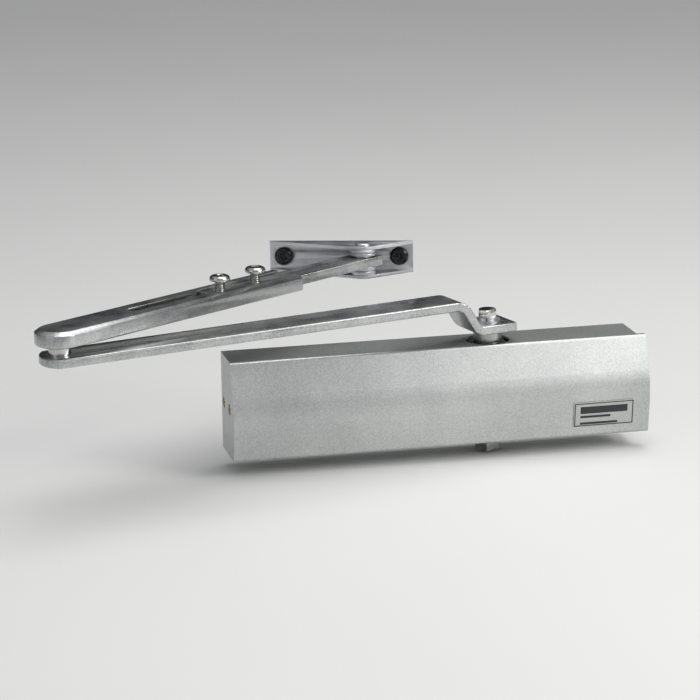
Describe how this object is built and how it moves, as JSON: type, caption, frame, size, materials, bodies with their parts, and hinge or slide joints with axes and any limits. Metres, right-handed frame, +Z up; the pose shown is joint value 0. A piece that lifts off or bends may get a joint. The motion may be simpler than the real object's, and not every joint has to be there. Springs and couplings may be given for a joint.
{
  "type": "door closer",
  "caption": "Overhead door closer: spring and rack-and-pinion body under a folded silver cover, with a cranked main arm, adjustable forearm and frame bracket.",
  "frame": {"origin": "centre of the four fixing holes on the closer's back plane, which lies on the door leaf", "axes": "+X along the closer towards the door's hinges, +Y into the door leaf, +Z up along the spindle"},
  "size_m": [0.3682, 0.2051, 0.117],
  "materials": {
    "silver_paint": "silver metallic paint",
    "badge_print": "printed foil",
    "cast_body": "die cast",
    "turned_steel": "turned",
    "spring_steel": "oil tempered",
    "seal_rubber": "moulded",
    "brass_parts": "turned",
    "arm_paint": "silver metallic paint",
    "zinc_plate": "bright zinc plated",
    "nickel_plate": "nickel plated",
    "black_screw": "black phosphate"
  },
  "bodies": {
    "closer_body": {"cover_shell": "silver_paint", "left_end_plate": "silver_paint", "right_end_plate": "silver_paint", "cover_badge": "badge_print", "cover_screws": "nickel_plate", "housing": "cast_body", "left_end_plug": "turned_steel", "right_end_plug": "turned_steel", "left_plug_seal": "seal_rubber", "right_plug_seal": "seal_rubber", "main_spring": "spring_steel", "upper_spindle_bearing": "turned_steel", "lower_spindle_bearing": "turned_steel", "upper_bearing_nut": "turned_steel", "lower_bearing_nut": "turned_steel", "upper_spindle_seal": "seal_rubber", "lower_spindle_seal": "seal_rubber"},
    "piston": {"piston": "turned_steel", "piston_seal": "seal_rubber", "check_valve": "brass_parts"},
    "closing_valve": {"closing_speed_screw": "brass_parts"},
    "latching_valve": {"latching_speed_screw": "brass_parts"},
    "spindle_arm": {"pinion_spindle": "turned_steel", "main_arm": "arm_paint", "arm_washer": "zinc_plate", "spring_washer": "zinc_plate", "arm_bolt": "nickel_plate", "elbow_pin": "nickel_plate", "elbow_washer": "zinc_plate", "elbow_clip": "zinc_plate"},
    "forearm": {"forearm_channel": "arm_paint", "elbow_bush": "brass_parts"},
    "link": {"link_bar": "arm_paint", "link_bush": "brass_parts", "clamp_screw_1": "nickel_plate", "clamp_screw_2": "nickel_plate"},
    "bracket": {"frame_bracket": "zinc_plate", "bracket_pivot_pin": "zinc_plate", "upper_pivot_washer_1": "zinc_plate", "upper_pivot_washer_2": "zinc_plate", "lower_pivot_washer_1": "zinc_plate", "lower_pivot_washer_2": "zinc_plate", "bracket_screw_1": "black_screw", "bracket_screw_2": "black_screw"}
  },
  "joints": [
    {"name": "spindle_turn", "type": "hinge", "parent": "closer_body", "child": "spindle_arm", "pos_m": [0.0318, -0.0165, 0], "axis": [0, 0, 1], "range_deg": [-105, 40], "stiffness_Nm_per_rad": 8, "springref_deg": 148.97},
    {"name": "piston_slide", "type": "slide", "parent": "closer_body", "child": "piston", "axis": [1, 0, 0], "range_m": [-0.0148, 0.0057], "deforming": ["main_spring"]},
    {"name": "elbow_turn", "type": "hinge", "parent": "spindle_arm", "child": "forearm", "pos_m": [-0.22959, -0.09027, 0.0643], "axis": [0, 0, 1], "range_deg": [-10, 150]},
    {"name": "forearm_length", "type": "slide", "parent": "forearm", "child": "link", "axis": [0.8304, 0.5572, 0], "range_m": [-0.025, 0.02]},
    {"name": "bracket_swivel", "type": "hinge", "parent": "link", "child": "bracket", "pos_m": [-0.02888, 0.0444, 0.0673], "axis": [0, 0, 1], "range_deg": [-120, 40]},
    {"name": "closing_speed_turn", "type": "hinge", "parent": "closer_body", "child": "closing_valve", "pos_m": [-0.1246, -0.00775, 0], "axis": [1, 0, 0], "range_deg": [-360, 360]},
    {"name": "latching_speed_turn", "type": "hinge", "parent": "closer_body", "child": "latching_valve", "pos_m": [-0.1246, -0.02525, 0], "axis": [1, 0, 0], "range_deg": [-360, 360]}
  ],
  "couplings": [
    {"joint": "piston_slide", "follows": "spindle_turn", "m_per_rad": 0.008}
  ]
}
